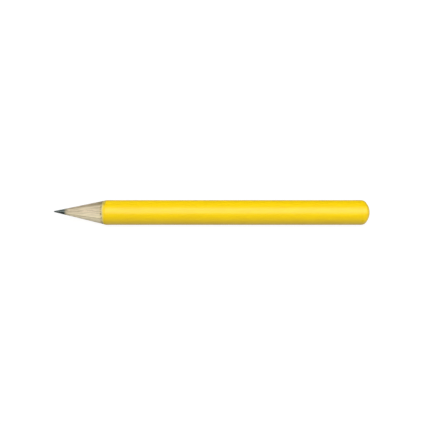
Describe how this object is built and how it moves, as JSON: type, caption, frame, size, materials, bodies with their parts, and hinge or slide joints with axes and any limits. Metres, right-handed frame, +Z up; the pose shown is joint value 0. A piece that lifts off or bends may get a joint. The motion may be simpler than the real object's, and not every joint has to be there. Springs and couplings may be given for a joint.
{
  "type": "pencil",
  "caption": "Short round wooden pencil with a yellow gloss lacquer, a sharpened graphite point at one end and a rounded, dipped end at the other.",
  "frame": {"origin": "on the resting plane, under the middle of the overall length, below the barrel's axis", "axes": "+X along the barrel from the writing point to the rounded end, +Z up"},
  "size_m": [0.089, 0.007, 0.007],
  "materials": {
    "graphite": "fired graphite and clay, dark grey with a dull metallic sheen where it is cut",
    "wood": "bare straight-grained softwood, cut smooth by a sharpener",
    "glue": "dried wood glue, a thin translucent amber line",
    "primer": "flat off-white grain filler",
    "yellow_lacquer": "opaque yellow lacquer",
    "clear_lacquer": "thin gloss clear coat; shown in the colour of the lacquer that it covers",
    "dip_lacquer": "opaque yellow gloss lacquer, dipped"
  },
  "bodies": {
    "root": {"graphite_core": "graphite", "upper_slat": "wood", "lower_slat": "wood", "glue_film": "glue", "primer_coat": "primer", "colour_coat": "yellow_lacquer", "clear_coat": "clear_lacquer", "end_primer_dip": "primer", "end_colour_dip": "dip_lacquer"}
  },
  "joints": []
}
